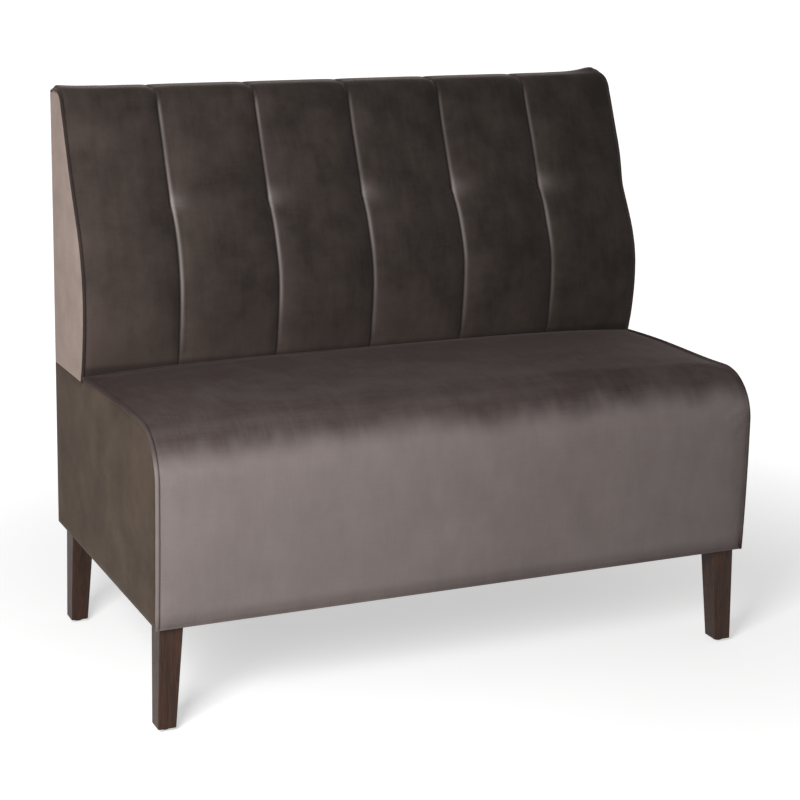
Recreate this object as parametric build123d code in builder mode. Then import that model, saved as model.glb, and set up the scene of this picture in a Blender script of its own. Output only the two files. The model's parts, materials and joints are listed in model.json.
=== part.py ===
from build123d import *

import os
from math import atan2, ceil, cos, hypot, radians, sin, sqrt

# Upholstered cafe banquette for two people, in millimetres.
# X runs along the width, the front faces -Y, Z is up, and the origin is on the
# floor in the middle of the footprint.

# Overall sizes
width = 1100
depth = 610
height = 985
leg_height = 173
glide_height = 6

# Seat, seen from the side
seat_rear_height = 496
seat_front_rise = 8
seat_edge_radius = 86
seat_toe_setback = 7
seat_crown = 11
seat_belly = 4
seat_top_bow = 3
deck_drop = 14

# Back, seen from the side: reaches are measured forward from the rear face, and
# the shares are of the way up from the deck and out from the crest
lumbar_reach = 201
lumbar_height_share = 0.279
foot_tuck = 23
shoulder_reach_share = 0.71
shoulder_height_share = 0.564
crest_reach = 77
crest_drop = 24
rear_top_radius = 6
tuft_height_share = 0.61
seat_back_gap = 0.6

# Channels and tufts of the quilted back
channel_count = 6
channel_crown = 7
channel_fade = 110
seam_lean_share = 0.085
seam_lean_power = 1.5
seam_depth = 4
tuft_depth = 9
pinch_length = 24
pinch_shares = {-2: 0.06, -1: 0.45, 0: 1.0, 1: 0.45, 2: 0.06}

# Covers, paddings and piping
piping_diameter = 6
piping_proud = 1
rear_cover_thickness = 3
seat_cover_padding = 16
seat_front_padding = 22
seat_flap_thickness = 3
back_quilt_thickness = 18
back_foam_thickness = 20
top_foam_thickness = 9
front_foam_thickness = 23
seat_foam_ease = 9
dust_cover_thickness = 0.8
dust_cover_margin = 6

# Timber
ply_thickness = 18
base_rail_thickness = 27
base_rail_width = 70
cross_board_height = 90
cross_board_count = 2
deck_rail_height = 134
batten_height = 20
batten_width = 22
corner_block_leg = 45
corner_block_drop = 40.2
spring_drop = 99
back_skin_thickness = 5
back_top_rail_thickness = 22

# Suspension
web_width = 50
web_thickness = 2
long_web_count = 9
cross_web_count = 3
hessian_thickness = 1
hessian_margin = 5

# Legs and what holds them
leg_top_width = 40
leg_top_depth = 46
leg_foot_width = 31
leg_foot_depth = 36
leg_side_inset = 11
leg_foot_side_inset = 7.5
leg_front_inset = 12
leg_foot_front_inset = 13
leg_rear_inset = 24
leg_foot_rear_inset = 28
leg_edge_radius = 3
leg_bolt_diameter = 8
leg_bolt_in_leg = 38
leg_bolt_in_rail = 20
insert_diameter = 12
insert_length = 22
glide_diameter = 17
glide_edge = 1.5
glide_pin_diameter = 3
glide_pin_length = 14

# Bolts between the back unit and the seat deck
back_bolt_diameter = 8
back_bolt_side_inset = 94
back_bolt_count = 4
back_bolt_setback = 88
hex_across_flats = 13
bolt_head_height = 5.3
nut_height = 6.5
washer_diameter = 24
washer_thickness = 1.6
bolt_tail = 3

# Tuft ties and toggles
tie_diameter = 2.4
tie_tail = 2
toggle_diameter = 22
toggle_thickness = 5

# Fits
soft_gap = 0.3
hole_gap = 0.2
overrun = 30

# Planes that follow from the sizes above
front_y = -depth / 2
rear_y = depth / 2
side_face = width / 2 - piping_proud
corner_step = piping_diameter - piping_proud + soft_gap
core_side = side_face - corner_step
core_rear = rear_y - rear_cover_thickness
seat_underside = leg_height + glide_height
seat_front_height = seat_rear_height + seat_front_rise
deck_height = seat_rear_height - deck_drop
spring_height = seat_rear_height - spring_drop
seat_side_y = front_y + seat_belly
seat_toe_y = seat_side_y + seat_toe_setback
core_front = front_y + seat_front_padding
board_front = core_front + front_foam_thickness
seat_foam_top = seat_rear_height - seat_cover_padding
seat_foam_radius = seat_edge_radius - seat_front_padding
frame_bottom = seat_underside + dust_cover_thickness
base_top = frame_bottom + base_rail_thickness
base_inner_front = core_front + base_rail_width
base_inner_rear = core_rear - base_rail_width
board_inside = core_side - ply_thickness
front_board_rear = board_front + ply_thickness
rear_board_front = core_rear - ply_thickness
strap_level = spring_height + web_thickness
hessian_level = strap_level + web_thickness
foam_level = hessian_level + hessian_thickness
deck_bottom = deck_height - ply_thickness
bottom_rail_top = deck_height + ply_thickness
back_top = height - piping_proud
top_rail_top = back_top - back_quilt_thickness - top_foam_thickness
rib_top = top_rail_top - back_top_rail_thickness
piping_radius = piping_diameter / 2
piping_inset = piping_radius - piping_proud
skin_front_inset = back_quilt_thickness + back_foam_thickness
skin_rear_inset = skin_front_inset + back_skin_thickness
channel_width = 2 * core_side / channel_count

# The seams between the channels lean to the left, the first one most
seam_leans = [seam_lean_share * (1 - k / channel_count) ** seam_lean_power for k in range(channel_count + 1)]
seams = [-core_side + channel_width * (k - lean) for k, lean in enumerate(seam_leans)]
seams[0] = -core_side

# The front line of the back is three arcs: foot to lumbar, lumbar to shoulder,
# and shoulder to crest. A turn is the angle between the line and the upright.
back_rise = back_top - deck_height
lumbar_height = deck_height + lumbar_height_share * back_rise
shoulder_height = deck_height + shoulder_height_share * back_rise
tuft_height = deck_height + tuft_height_share * back_rise
crest_height = back_top - crest_drop
lumbar_y = rear_y - lumbar_reach
crest_y = rear_y - crest_reach
shoulder_y = crest_y + shoulder_reach_share * (lumbar_y - crest_y)
lower_radius = (foot_tuck**2 + (lumbar_height - deck_height) ** 2) / (2 * foot_tuck)
middle_rise = shoulder_height - lumbar_height
middle_run = shoulder_y - lumbar_y
middle_radius = (middle_run**2 + middle_rise**2) / (2 * middle_run)
shoulder_turn = 2 * atan2(middle_run, middle_rise)
upper_rise = crest_height - shoulder_height
upper_run = crest_y - shoulder_y
crest_turn = 2 * atan2(upper_run, upper_rise) - shoulder_turn
upper_radius = hypot(upper_rise, upper_run) / (2 * sin((shoulder_turn - crest_turn) / 2))
upper_centre_y = shoulder_y - upper_radius * cos(shoulder_turn)
upper_centre_z = shoulder_height + upper_radius * sin(shoulder_turn)
top_radius = crest_drop / (1 - sin(crest_turn))
top_centre_y = crest_y + top_radius * cos(crest_turn)
top_centre_z = back_top - top_radius


def back_line_y(z):
    if z < lumbar_height:
        return lumbar_y + lower_radius - sqrt(lower_radius**2 - (lumbar_height - z) ** 2)
    if z < shoulder_height:
        return lumbar_y + middle_radius - sqrt(middle_radius**2 - (z - lumbar_height) ** 2)
    return upper_centre_y + sqrt(upper_radius**2 - (z - upper_centre_z) ** 2)


def back_line_turn(z):
    if z < lumbar_height:
        return -atan2(lumbar_height - z, lower_radius)
    if z < shoulder_height:
        return atan2(z - lumbar_height, middle_radius)
    return atan2(upper_centre_z - z, back_line_y(z) - upper_centre_y)


# Share of the channels' crown at a height: none at the deck and the crest
def crown_share(z):
    rise_share = min(max((z - deck_height) / channel_fade, 0), 1)
    fall_share = min(max((crest_height - z) / channel_fade, 0), 1)
    return rise_share**2 * (3 - 2 * rise_share) * fall_share**2 * (3 - 2 * fall_share)


# Front line of the back in the middle of a channel
def channel_line_y(z):
    return back_line_y(z) - crown_share(z) * channel_crown


# The seat ends just clear of the back, where the two come nearest
seat_top = seat_rear_height + seat_crown
seat_back_y = channel_line_y(seat_top) - seat_back_gap
seat_flap_y = seat_back_y - seat_flap_thickness


# A point of the front line at a height, moved square to the line into the back
def back_line_point(z, inset):
    turn = back_line_turn(z)
    return (back_line_y(z) + inset * cos(turn), z - inset * sin(turn))


# The front line from a height near the deck to the crest; returns its two ends
def draw_back_line(inset, start):
    heights = (start, lumbar_height, shoulder_height, crest_height)
    for low, high in zip(heights, heights[1:]):
        stations = (low, (low + high) / 2, high)
        ThreePointArc(*[back_line_point(z, inset) for z in stations])
    return back_line_point(heights[0], inset), back_line_point(crest_height, inset)


# The arc from the crest over to the flat top; returns its end
def draw_back_top(inset):
    reach = top_radius - inset
    turns = (crest_turn, (crest_turn + radians(90)) / 2, radians(90))
    points = [(top_centre_y - reach * cos(turn), top_centre_z + reach * sin(turn)) for turn in turns]
    ThreePointArc(*points)
    return points[-1]


# Side view of the back unit above the deck, with its rounded top
def back_outline(inset, rear, x=0):
    with BuildSketch(Plane.YZ.offset(x)) as outline:
        with BuildLine():
            foot, crest = draw_back_line(inset, deck_height - overrun)
            top = draw_back_top(inset)
            Polyline(top, (rear, top[1]), (rear, foot[1]), foot)
        make_face()
        with Locations((rear_y, deck_height - overrun)):
            Rectangle(2 * depth, 2 * overrun, mode=Mode.SUBTRACT)
    return outline.sketch


# Side view of what lies behind an inset front line, between two heights
def back_core(inset, low, high, x=0):
    with BuildSketch(Plane.YZ.offset(x)) as core:
        with BuildLine():
            foot, crest = draw_back_line(inset, deck_height - overrun)
            Polyline(crest, (core_rear, crest[1]), (core_rear, foot[1]), foot)
        make_face()
        with Locations((core_rear, (low + high) / 2)):
            Rectangle(2 * depth, high - low, mode=Mode.INTERSECT)
    return core.sketch


# The seat's top, rounded front edge and front face; returns its two ends
def draw_seat_line(crown_share, inset):
    rise = crown_share * seat_crown - inset
    face_y = seat_side_y - crown_share * seat_belly + inset
    bend = seat_edge_radius - inset
    rear = (seat_back_y, seat_rear_height + rise)
    nose = (face_y + bend, seat_front_height + rise)
    corner = (nose[0] - bend * cos(radians(45)), nose[1] - bend * (1 - sin(radians(45))))
    brow = (face_y, nose[1] - bend)
    toe = (seat_toe_y + inset, seat_underside)
    setback = toe[0] - brow[0]
    drop = brow[1] - toe[1]
    belly_radius = (setback**2 + drop**2) / (2 * setback)
    belly = (brow[0] + belly_radius - sqrt(belly_radius**2 - (drop / 2) ** 2), brow[1] - drop / 2)
    middle = ((rear[0] + nose[0]) / 2, (rear[1] + nose[1]) / 2 + seat_top_bow)
    ThreePointArc(rear, middle, nose)
    ThreePointArc(nose, corner, brow)
    ThreePointArc(brow, belly, toe)
    return rear, toe


# Side view of the foam block under the seat cover
def seat_core(bottom, corner_radius):
    with BuildSketch(Plane.YZ) as core:
        with BuildLine():
            nose = (core_front + corner_radius, seat_foam_top)
            brow = (core_front, seat_foam_top - corner_radius)
            RadiusArc(brow, nose, corner_radius)
            Polyline(nose, (seat_flap_y, seat_foam_top), (seat_flap_y, bottom), (core_front, bottom), brow)
        make_face()
    return core.sketch


def block(x_range, y_range, z_range):
    with BuildPart() as solid:
        with BuildSketch(Plane.XY.offset(z_range[0])):
            with Locations((sum(x_range) / 2, sum(y_range) / 2)):
                Rectangle(x_range[1] - x_range[0], y_range[1] - y_range[0])
        extrude(amount=z_range[1] - z_range[0])
    return solid.part


def rods(points, radius, low, high):
    with BuildPart() as solid:
        with BuildSketch(Plane.XY.offset(low)):
            with Locations(*points):
                Circle(radius)
        extrude(amount=high - low)
    return solid.part


def save(part, name):
    part.label = name
    export_step(part, f"parts/{name}.step")


os.makedirs("parts", exist_ok=True)

# Legs: each tapers on its inner faces, and its outer face leans out a little
leg_top_x = width / 2 - leg_side_inset - leg_top_width / 2
leg_foot_x = width / 2 - leg_foot_side_inset - leg_foot_width / 2
leg_top_front = seat_toe_y + leg_front_inset + leg_top_depth / 2
leg_foot_front = seat_toe_y + leg_foot_front_inset + leg_foot_depth / 2
leg_top_rear = rear_y - leg_rear_inset - leg_top_depth / 2
leg_foot_rear = rear_y - leg_foot_rear_inset - leg_foot_depth / 2
legs = {
    "front_left_leg": ((-leg_top_x, leg_top_front), (-leg_foot_x, leg_foot_front)),
    "front_right_leg": ((leg_top_x, leg_top_front), (leg_foot_x, leg_foot_front)),
    "rear_left_leg": ((-leg_top_x, leg_top_rear), (-leg_foot_x, leg_foot_rear)),
    "rear_right_leg": ((leg_top_x, leg_top_rear), (leg_foot_x, leg_foot_rear)),
}
leg_tops = [top for top, foot in legs.values()]
leg_feet = [foot for top, foot in legs.values()]
front_leg_tops = leg_tops[:2]
rear_leg_tops = leg_tops[2:]
bolt_radius = leg_bolt_diameter / 2
insert_radius = insert_diameter / 2
pin_radius = glide_pin_diameter / 2

for leg_name, (top_centre, foot_centre) in legs.items():
    with BuildPart() as leg:
        with BuildSketch(Plane.XY.offset(glide_height)):
            with Locations(foot_centre):
                RectangleRounded(leg_foot_width, leg_foot_depth, leg_edge_radius)
        with BuildSketch(Plane.XY.offset(seat_underside)):
            with Locations(top_centre):
                RectangleRounded(leg_top_width, leg_top_depth, leg_edge_radius)
        loft(ruled=True)
        with Locations((*top_centre, seat_underside)):
            Hole(bolt_radius + hole_gap, leg_bolt_in_leg + hole_gap)
        with BuildSketch(Plane.XY.offset(glide_height)):
            with Locations(foot_centre):
                Circle(pin_radius + hole_gap)
        extrude(amount=glide_pin_length + hole_gap, mode=Mode.SUBTRACT)
    save(leg.part, leg_name)

with BuildPart() as glides:
    with BuildSketch():
        with Locations(*leg_feet):
            Circle(glide_diameter / 2)
    extrude(amount=glide_height)
    fillet(glides.edges().group_by(Axis.Z)[0], glide_edge)
    with BuildSketch(Plane.XY.offset(glide_height)):
        with Locations(*leg_feet):
            Circle(pin_radius)
    extrude(amount=glide_pin_length)
save(glides.part, "leg_glides")

save(
    rods(leg_tops, bolt_radius, seat_underside - leg_bolt_in_leg, seat_underside + leg_bolt_in_rail),
    "leg_bolts",
)

with BuildPart() as inserts:
    add(rods(leg_tops, insert_radius, frame_bottom, frame_bottom + insert_length))
    add(
        rods(leg_tops, bolt_radius + hole_gap, frame_bottom, frame_bottom + insert_length),
        mode=Mode.SUBTRACT,
    )
save(inserts.part, "leg_inserts")

# Base rails: flat boards that the legs are screwed up into
for rail_name, y_range, tops in (
    ("base_front_rail", (core_front, base_inner_front), front_leg_tops),
    ("base_rear_rail", (base_inner_rear, core_rear), rear_leg_tops),
):
    with BuildPart() as rail:
        add(block((-core_side, core_side), y_range, (frame_bottom, base_top)))
        add(rods(tops, insert_radius + hole_gap, frame_bottom, base_top), mode=Mode.SUBTRACT)
    save(rail.part, rail_name)

base_length = (base_inner_front, base_inner_rear)
base_inside = core_side - base_rail_width
save(block((-core_side, -base_inside), base_length, (frame_bottom, base_top)), "base_left_rail")
save(block((base_inside, core_side), base_length, (frame_bottom, base_top)), "base_right_rail")

cross_spacing = 2 * core_side / (cross_board_count + 1)
cross_places = [cross_spacing * k - core_side for k in range(1, cross_board_count + 1)]
with BuildPart() as cross_rails:
    for middle in cross_places:
        rail_range = (middle - base_rail_width / 2, middle + base_rail_width / 2)
        add(block(rail_range, base_length, (frame_bottom, base_top)))
save(cross_rails.part, "base_cross_rails")

# Boards of the seat box
inside_range = (-board_inside, board_inside)
save(block(inside_range, (board_front, front_board_rear), (base_top, strap_level)), "seat_front_board")
save(block(inside_range, (rear_board_front, core_rear), (base_top, deck_bottom)), "seat_rear_board")

for board_name, start in (("seat_left_board", -core_side), ("seat_right_board", board_inside)):
    with BuildPart() as board:
        with BuildSketch(Plane.YZ.offset(start)):
            with BuildLine():
                Polyline(
                    (board_front, base_top),
                    (core_rear, base_top),
                    (core_rear, deck_bottom),
                    (seat_back_y, deck_bottom),
                    (seat_back_y, spring_height),
                    (board_front, spring_height),
                    close=True,
                )
            make_face()
        extrude(amount=ply_thickness)
    save(board.part, board_name)

with BuildPart() as cross_boards:
    for middle in cross_places:
        board_range = (middle - ply_thickness / 2, middle + ply_thickness / 2)
        top = base_top + cross_board_height
        add(block(board_range, (front_board_rear, rear_board_front), (base_top, top)))
save(cross_boards.part, "seat_cross_boards")

with BuildPart() as corner_blocks:
    with BuildSketch(Plane.XY.offset(base_top)):
        for side in (-1, 1):
            for corner_y, inwards in ((front_board_rear, 1), (rear_board_front, -1)):
                corner_x = side * board_inside
                with BuildLine():
                    Polyline(
                        (corner_x, corner_y),
                        (corner_x - side * corner_block_leg, corner_y),
                        (corner_x, corner_y + inwards * corner_block_leg),
                        close=True,
                    )
                make_face()
    extrude(amount=spring_height - corner_block_drop - base_top)
save(corner_blocks.part, "seat_corner_blocks")

deck_rail_range = (deck_bottom - deck_rail_height, deck_bottom)
save(block(inside_range, (seat_back_y, seat_back_y + ply_thickness), deck_rail_range), "seat_deck_rail")
batten_range = (strap_level - batten_height, strap_level)
save(block(inside_range, (seat_back_y - batten_width, seat_back_y), batten_range), "seat_web_batten")

# Bolts that hold the back unit down on the deck
back_bolt_y = rear_y - back_bolt_setback
back_bolt_end = core_side - back_bolt_side_inset
back_bolt_spacing = 2 * back_bolt_end / (back_bolt_count - 1)
back_bolts = [(back_bolt_spacing * k - back_bolt_end, back_bolt_y) for k in range(back_bolt_count)]
back_bolt_radius = back_bolt_diameter / 2
lower_washer = (deck_bottom - washer_thickness, deck_bottom)
upper_washer = (bottom_rail_top, bottom_rail_top + washer_thickness)
nut_top = upper_washer[1] + nut_height

with BuildPart() as deck:
    add(block((-core_side, core_side), (seat_back_y, core_rear), (deck_bottom, deck_height)))
    add(rods(back_bolts, back_bolt_radius + hole_gap, deck_bottom, deck_height), mode=Mode.SUBTRACT)
save(deck.part, "seat_deck")

with BuildPart() as bolts:
    with BuildSketch(Plane.XY.offset(lower_washer[0] - bolt_head_height)):
        with Locations(*back_bolts):
            RegularPolygon(hex_across_flats / 2, 6, major_radius=False)
    extrude(amount=bolt_head_height)
    add(rods(back_bolts, back_bolt_radius, lower_washer[0], nut_top + bolt_tail))
save(bolts.part, "back_fixing_bolts")

with BuildPart() as washers:
    for low, high in (lower_washer, upper_washer):
        add(rods(back_bolts, washer_diameter / 2, low, high))
        add(rods(back_bolts, back_bolt_radius + hole_gap, low, high), mode=Mode.SUBTRACT)
save(washers.part, "back_fixing_washers")

with BuildPart() as nuts:
    with BuildSketch(Plane.XY.offset(upper_washer[1])):
        with Locations(*back_bolts):
            RegularPolygon(hex_across_flats / 2, 6, major_radius=False)
            Circle(back_bolt_radius + hole_gap, mode=Mode.SUBTRACT)
    extrude(amount=nut_height)
save(nuts.part, "back_fixing_nuts")

# Webbing, hessian and foam of the seat
web_middle_y = (board_front + seat_flap_y) / 2
cross_web_spacing = (seat_flap_y - board_front) / (cross_web_count + 1)
long_web_spacing = 2 * board_inside / long_web_count
with BuildPart() as cross_webbing:
    with BuildSketch(Plane.XY.offset(spring_height)):
        with Locations((0, web_middle_y)):
            with GridLocations(0, cross_web_spacing, 1, cross_web_count):
                Rectangle(2 * core_side, web_width)
    extrude(amount=web_thickness)
save(cross_webbing.part, "seat_cross_webbing")

with BuildPart() as long_webbing:
    with BuildSketch(Plane.XY.offset(strap_level)):
        with Locations((0, web_middle_y)):
            with GridLocations(long_web_spacing, 0, long_web_count, 1):
                Rectangle(web_width, seat_flap_y - board_front)
    extrude(amount=web_thickness)
save(long_webbing.part, "seat_long_webbing")

hessian_side = core_side - hessian_margin
hessian_length = (board_front, seat_flap_y - hessian_margin)
save(block((-hessian_side, hessian_side), hessian_length, (hessian_level, foam_level)), "seat_hessian")

with BuildPart() as seat_foam:
    extrude(seat_core(foam_level, seat_foam_radius + seat_foam_ease), core_side, both=True)
save(seat_foam.part, "seat_foam")

save(block((-core_side, core_side), (core_front, board_front), (base_top, foam_level)), "seat_front_foam")

dust_side = core_side - dust_cover_margin
with BuildPart() as dust_cover:
    add(
        block(
            (-dust_side, dust_side),
            (core_front + dust_cover_margin, core_rear - dust_cover_margin),
            (seat_underside, frame_bottom),
        )
    )
    add(rods(leg_tops, bolt_radius + hole_gap, seat_underside, frame_bottom), mode=Mode.SUBTRACT)
save(dust_cover.part, "dust_cover")


# Piping and side covers: the cord lies in the step that a side cover leaves along
# the corner, and stands a little proud of both faces
piping_x = side_face - piping_inset
for side, side_name in ((-1, "left"), (1, "right")):
    with BuildPart() as seat_piping:
        with BuildLine(Plane.YZ.offset(side * piping_x)) as path:
            draw_seat_line(0, piping_inset)
        with BuildSketch(Plane(path.wire() @ 0, z_dir=path.wire() % 0)):
            Circle(piping_radius)
        sweep(path=path.wire())
    save(seat_piping.part, f"seat_{side_name}_piping")

    with BuildPart() as back_piping:
        with BuildLine(Plane.YZ.offset(side * piping_x)) as path:
            draw_back_line(piping_inset, deck_height + piping_radius)
            top = draw_back_top(piping_inset)
            Line(top, (rear_y, top[1]))
        with BuildSketch(Plane(path.wire() @ 0, z_dir=path.wire() % 0)):
            Circle(piping_radius)
        sweep(path=path.wire())
    save(back_piping.part, f"back_{side_name}_piping")

    with BuildPart() as seat_side:
        with BuildSketch(Plane.YZ.offset(side * core_side)):
            with BuildLine():
                rear, toe = draw_seat_line(0, corner_step)
                Polyline(
                    toe,
                    (rear_y, seat_underside),
                    (rear_y, deck_height),
                    (seat_back_y, deck_height),
                    rear,
                )
            make_face()
        extrude(amount=side * corner_step)
    save(seat_side.part, f"seat_{side_name}_cover")

    with BuildPart() as back_side:
        extrude(back_outline(corner_step, rear_y, side * core_side), side * corner_step)
    save(back_side.part, f"back_{side_name}_cover")

# Seat cover: velvet on wadding, crowned across the width and over the front edge
half_sections = 4
crown_power = 4
section_places = [core_side * k / half_sections for k in range(-half_sections, half_sections + 1)]
with BuildPart() as seat_cover:
    for x in section_places:
        with BuildSketch(Plane.YZ.offset(x)):
            with BuildLine():
                rear, toe = draw_seat_line(1 - (x / core_side) ** crown_power, 0)
                Polyline(toe, (seat_back_y, seat_underside), rear)
            make_face()
    loft()
    extrude(
        seat_core(seat_underside - overrun, seat_foam_radius),
        core_side + overrun,
        both=True,
        mode=Mode.SUBTRACT,
    )
    with BuildSketch(Plane.YZ):
        with Locations((core_front, strap_level)):
            Rectangle(depth, depth, align=(Align.MIN, Align.MAX))
    extrude(amount=core_side + overrun, both=True, mode=Mode.SUBTRACT)
save(seat_cover.part, "seat_cover")

save(
    block((-core_side, core_side), (core_rear, rear_y), (seat_underside, deck_height)),
    "seat_rear_cover",
)

# Frame of the back: bottom rail on the deck, ribs, top rail and a bent skin
with BuildPart() as bottom_rail:
    extrude(back_core(skin_rear_inset, deck_height, bottom_rail_top), core_side, both=True)
    add(rods(back_bolts, back_bolt_radius + hole_gap, deck_height, bottom_rail_top), mode=Mode.SUBTRACT)
save(bottom_rail.part, "back_bottom_rail")

for rib_name, x in (("back_left_rib", -core_side), ("back_right_rib", board_inside)):
    with BuildPart() as rib:
        extrude(back_core(skin_rear_inset, bottom_rail_top, rib_top, x), ply_thickness)
    save(rib.part, rib_name)

with BuildPart() as inner_ribs:
    for k in range(1, channel_count - 1):
        x = (seams[k] + seams[k + 1] - ply_thickness) / 2
        extrude(back_core(skin_rear_inset, bottom_rail_top, rib_top, x), ply_thickness)
save(inner_ribs.part, "back_inner_ribs")

top_rail_front = back_line_point(crest_height, skin_rear_inset)[0]
save(
    block((-core_side, core_side), (top_rail_front, core_rear), (rib_top, top_rail_top)),
    "back_top_rail",
)


# Straight holes or rods through the back at the tufts, square to its front line
def tuft_rods(radius, start_inset, end_inset):
    turn = back_line_turn(tuft_height)
    point = back_line_point(tuft_height, start_inset)
    with BuildPart() as solid:
        for x in seams[1:-1]:
            with BuildSketch(Plane((x, *point), z_dir=(0, cos(turn), -sin(turn)))):
                Circle(radius)
            extrude(amount=end_inset - start_inset)
    return solid.part


tie_radius = tie_diameter / 2
tie_start = seam_depth + tuft_depth
toggle_front = skin_rear_inset + soft_gap
toggle_rear = toggle_front + toggle_thickness
tie_hole = tuft_rods(tie_radius + hole_gap, -overrun, toggle_rear + overrun)
save(tuft_rods(tie_radius, tie_start, toggle_rear + tie_tail), "tuft_ties")

with BuildPart() as toggles:
    add(tuft_rods(toggle_diameter / 2, toggle_front, toggle_rear))
    add(tie_hole, mode=Mode.SUBTRACT)
save(toggles.part, "tuft_toggles")

with BuildPart() as skin:
    extrude(back_core(skin_front_inset, deck_height, rib_top), core_side, both=True)
    extrude(
        back_core(skin_rear_inset, deck_height - overrun, rib_top + overrun),
        core_side + overrun,
        both=True,
        mode=Mode.SUBTRACT,
    )
    add(tie_hole, mode=Mode.SUBTRACT)
save(skin.part, "back_skin")

with BuildPart() as back_foam:
    extrude(back_outline(back_quilt_thickness + soft_gap, core_rear), core_side, both=True)
    extrude(
        back_core(skin_front_inset - soft_gap, deck_height - overrun, rib_top),
        core_side + overrun,
        both=True,
        mode=Mode.SUBTRACT,
    )
    add(
        block((-width, width), (top_rail_front, core_rear + overrun), (rib_top - overrun, top_rail_top)),
        mode=Mode.SUBTRACT,
    )
    add(tie_hole, mode=Mode.SUBTRACT)
save(back_foam.part, "back_foam")

# Quilted cover of the back: level sections at even steps from the tufts, with
# one arc for each channel, drawn in at the seams and more at the tufts
lowest_step = -ceil((tuft_height - deck_height) / pinch_length) - 1
highest_step = ceil((back_top - tuft_height) / pinch_length) + 1
with BuildPart() as quilt:
    for step in range(lowest_step, highest_step + 1):
        z = tuft_height + step * pinch_length
        line_y = back_line_y(z)
        crown_y = channel_line_y(z)
        seam_y = line_y + seam_depth + pinch_shares.get(step, 0) * tuft_depth
        seam_points = [(x, seam_y) for x in seams]
        seam_points[0] = (-core_side, line_y)
        seam_points[-1] = (core_side, line_y)
        with BuildSketch(Plane.XY.offset(z)):
            with BuildLine():
                for left, right in zip(seam_points, seam_points[1:]):
                    ThreePointArc(left, ((left[0] + right[0]) / 2, crown_y), right)
                Polyline(seam_points[-1], (core_side, rear_y), (-core_side, rear_y), seam_points[0])
            make_face()
    loft()
    with BuildSketch(Plane.YZ.offset(-core_side)) as envelope:
        with BuildLine():
            crest = back_line_point(crest_height, 0)
            top = draw_back_top(0)
            Polyline(
                top,
                (rear_y, back_top),
                (rear_y, deck_height),
                (front_y, deck_height),
                (front_y, crest_height),
                crest,
            )
        make_face()
        fillet(envelope.vertices().group_by(Axis.X)[-1].sort_by(Axis.Y)[-1], rear_top_radius)
    extrude(amount=2 * core_side, mode=Mode.INTERSECT)
    extrude(
        back_outline(back_quilt_thickness, rear_y + overrun),
        core_side + overrun,
        both=True,
        mode=Mode.SUBTRACT,
    )
    add(tie_hole, mode=Mode.SUBTRACT)
save(quilt.part, "back_front_cover")

save(
    block((-core_side, core_side), (core_rear, rear_y), (deck_height, back_top - back_quilt_thickness)),
    "back_rear_cover",
)
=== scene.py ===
import json
import math

import bpy
from mathutils import Matrix, Vector, noise


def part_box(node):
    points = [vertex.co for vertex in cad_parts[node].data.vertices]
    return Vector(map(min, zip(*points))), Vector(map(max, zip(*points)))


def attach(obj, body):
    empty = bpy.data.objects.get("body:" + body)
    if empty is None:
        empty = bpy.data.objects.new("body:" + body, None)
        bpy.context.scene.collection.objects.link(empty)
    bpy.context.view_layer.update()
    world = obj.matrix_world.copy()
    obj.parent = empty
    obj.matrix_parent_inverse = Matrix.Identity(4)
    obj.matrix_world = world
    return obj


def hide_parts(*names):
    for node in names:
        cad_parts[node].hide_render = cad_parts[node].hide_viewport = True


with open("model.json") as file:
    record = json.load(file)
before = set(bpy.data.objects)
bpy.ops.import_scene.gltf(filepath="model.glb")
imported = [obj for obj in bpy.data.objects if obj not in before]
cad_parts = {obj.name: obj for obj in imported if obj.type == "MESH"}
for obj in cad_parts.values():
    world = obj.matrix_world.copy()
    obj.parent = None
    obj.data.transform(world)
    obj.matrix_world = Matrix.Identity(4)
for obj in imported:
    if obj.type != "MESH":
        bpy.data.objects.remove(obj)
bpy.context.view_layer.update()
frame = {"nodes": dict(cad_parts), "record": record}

print("frame loaded")

# Camera: 800 by 800 frame, fitted to the corners of the bench
camera = {
    "place": (-1.4409, -3.1364, 1.3352),
    "yaw": 23.412,
    "pitch": 11.117,
    "roll": 0.647,
    "lens": 89.12,
    "shift": (0.0539, -0.1532),
}
yaw, pitch, roll = (math.radians(camera[k]) for k in ("yaw", "pitch", "roll"))
forward = Vector((math.sin(yaw) * math.cos(pitch), math.cos(yaw) * math.cos(pitch), -math.sin(pitch)))
level = Vector((math.cos(yaw), -math.sin(yaw), 0))
upright = level.cross(forward)
right = math.cos(roll) * level + math.sin(roll) * upright
up = math.cos(roll) * upright - math.sin(roll) * level
bpy.ops.object.camera_add()
shot = bpy.context.object
shot.name = "benchCamera"
turn = Matrix((right, up, -forward)).transposed()
shot.matrix_world = Matrix.Translation(camera["place"]) @ turn.to_4x4()
shot.data.sensor_width = 36
shot.data.lens = camera["lens"]
shot.data.shift_x, shot.data.shift_y = camera["shift"]
shot.data.clip_start, shot.data.clip_end = 0.1, 100
bpy.context.scene.camera = shot
bpy.context.scene.view_settings.view_transform = "Standard"

# Lamps and floor
studio = {
    "keyPlace": (-1.75, -1.8, 1.5), "keySize": 1.0, "keyPower": 78,
    "fillPlace": (2.4, -2.4, 1.8), "fillSize": 2.2, "fillPower": 3,
    "skyStrength": 0.15, "nearLift": 0.55, "farLift": 1.0, "nearReach": 0.5, "farReach": 1.9,
}


def softLamp(name, place, size, power):
    bpy.ops.object.light_add(type="AREA", location=place)
    lamp = bpy.context.object
    lamp.name = name
    lamp.data.size = size
    lamp.data.energy = power
    lamp.rotation_euler = (Vector((0, 0, 0.5)) - Vector(place)).to_track_quat("-Z", "Y").to_euler()


softLamp("keyLamp", studio["keyPlace"], studio["keySize"], studio["keyPower"])
softLamp("fillLamp", studio["fillPlace"], studio["fillSize"], studio["fillPower"])


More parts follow.
